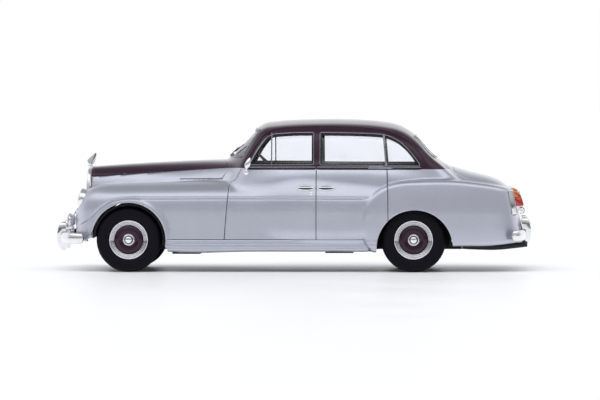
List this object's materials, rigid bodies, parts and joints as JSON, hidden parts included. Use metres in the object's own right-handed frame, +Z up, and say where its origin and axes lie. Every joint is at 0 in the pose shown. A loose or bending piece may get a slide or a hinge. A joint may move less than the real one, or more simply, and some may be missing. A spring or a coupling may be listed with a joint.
{
  "type": "diecast collector car",
  "caption": "Diecast collector's model of a two-tone four-door luxury saloon, with a sealed body and wheelsets that roll in the base plate.",
  "frame": {"origin": "on the ground plane, under the centre of the bounding box", "axes": "+Z up; the car faces -X; its left side is -Y, and +Y is its right side"},
  "size_m": [0.1256, 0.0444, 0.0401],
  "materials": {
    "body_paint": "metallic silver lacquer, maroon on the bonnet top and roof",
    "tyre": "matt moulded rubber",
    "wheel_chrome": "bright plated",
    "wheel_cover_paint": "maroon gloss with a plated centre cap",
    "chassis_plastic": "satin black moulding",
    "black_plastic": "gloss black moulding",
    "steel": "turned steel",
    "wiper_metal": "etched and plated",
    "glazing": "clear, polished",
    "lamp_lens": "clear, fluted",
    "tail_lens": "translucent red, amber at the top",
    "seat_plastic": "satin, leather colour",
    "tub_plastic": "satin, dark brown",
    "dashboard_plastic": "wood colour, gloss",
    "brightwork": "bright plated"
  },
  "bodies": {
    "body": {"base_plate": "chassis_plastic", "base_screw_front": "steel", "base_screw_rear": "steel", "body_shell": "body_paint", "boot_handle": "brightwork", "dashboard": "dashboard_plastic", "door_handle_front_left": "brightwork", "door_handle_front_right": "brightwork", "door_handle_rear_left": "brightwork", "door_handle_rear_right": "brightwork", "door_mirror_left": "brightwork", "door_mirror_right": "brightwork", "exhaust": "chassis_plastic", "fog_lamp_left": "brightwork", "fog_lamp_right": "brightwork", "front_bumper": "brightwork", "front_seat": "seat_plastic", "front_window_trim_left": "brightwork", "front_window_trim_right": "brightwork", "headlamp_left": "brightwork", "headlamp_lens_left": "lamp_lens", "headlamp_lens_right": "lamp_lens", "headlamp_right": "brightwork", "interior_tub": "tub_plastic", "mascot": "brightwork", "overrider_front_left": "brightwork", "overrider_front_right": "brightwork", "overrider_rear_left": "brightwork", "overrider_rear_right": "brightwork", "radiator_grille": "brightwork", "rear_bumper": "brightwork", "rear_seat": "seat_plastic", "rear_window": "glazing", "rear_window_trim": "brightwork", "rear_window_trim_left": "brightwork", "rear_window_trim_right": "brightwork", "side_glazing_left": "glazing", "side_glazing_right": "glazing", "steering_wheel": "black_plastic", "tail_lamp_left": "tail_lens", "tail_lamp_right": "tail_lens", "windscreen": "glazing", "windscreen_trim": "brightwork", "wiper_left": "wiper_metal", "wiper_right": "wiper_metal"},
    "front_wheelset": {"front_axle": "steel", "rim_front_left": "wheel_chrome", "rim_front_right": "wheel_chrome", "tyre_front_left": "tyre", "tyre_front_right": "tyre", "wheel_cover_front_left": "wheel_cover_paint", "wheel_cover_front_right": "wheel_cover_paint"},
    "rear_wheelset": {"rear_axle": "steel", "rim_rear_left": "wheel_chrome", "rim_rear_right": "wheel_chrome", "tyre_rear_left": "tyre", "tyre_rear_right": "tyre", "wheel_cover_rear_left": "wheel_cover_paint", "wheel_cover_rear_right": "wheel_cover_paint"}
  },
  "joints": [
    {"name": "front_wheels_spin", "type": "hinge", "parent": "body", "child": "front_wheelset", "pos_m": [-0.0432, 0, 0.0085], "axis": [0, 1, 0], "continuous": true},
    {"name": "rear_wheels_spin", "type": "hinge", "parent": "body", "child": "rear_wheelset", "pos_m": [0.0318, 0, 0.0085], "axis": [0, 1, 0], "continuous": true}
  ]
}
